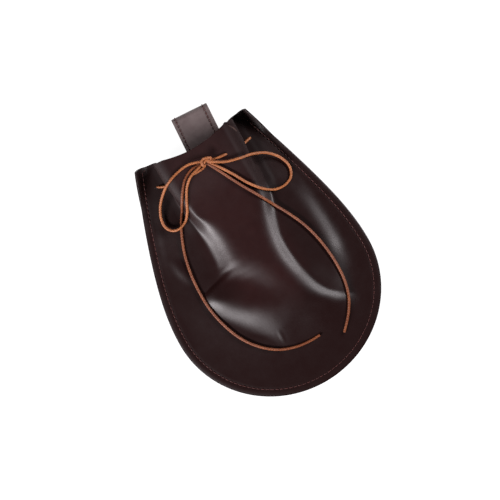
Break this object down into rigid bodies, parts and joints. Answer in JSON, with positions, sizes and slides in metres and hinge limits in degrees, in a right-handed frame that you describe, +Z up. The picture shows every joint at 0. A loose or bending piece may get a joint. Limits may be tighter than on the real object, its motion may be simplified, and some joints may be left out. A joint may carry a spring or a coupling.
{
  "type": "drawstring belt pouch",
  "caption": "Soft leather belt pouch with a rounded bottom, a gathered mouth closed by a drawstring tied in a bow, and a belt loop on the back, lying on its back.",
  "frame": {"origin": "on the ground under the middle of the pouch and its belt loop, as it lies on its back", "axes": "+X to the right seen from the front, +Y from the bottom to the mouth and the belt loop, +Z up out of the front"},
  "size_m": [0.18, 0.2524, 0.0339],
  "materials": {
    "pouch_leather": "smooth dark brown leather with a soft gloss",
    "strap_leather": "smooth brown leather that looks grey where the light falls flat on it",
    "cord": "twisted waxed cord, light orange brown"
  },
  "bodies": {
    "root": {"front_panel": "pouch_leather", "back_panel": "pouch_leather", "belt_loop": "strap_leather", "drawstring_run": "cord", "bow_knot": "cord", "bow_loop_left": "cord", "bow_loop_right": "cord", "cord_tail_left": "cord", "cord_tail_right": "cord"}
  },
  "joints": []
}
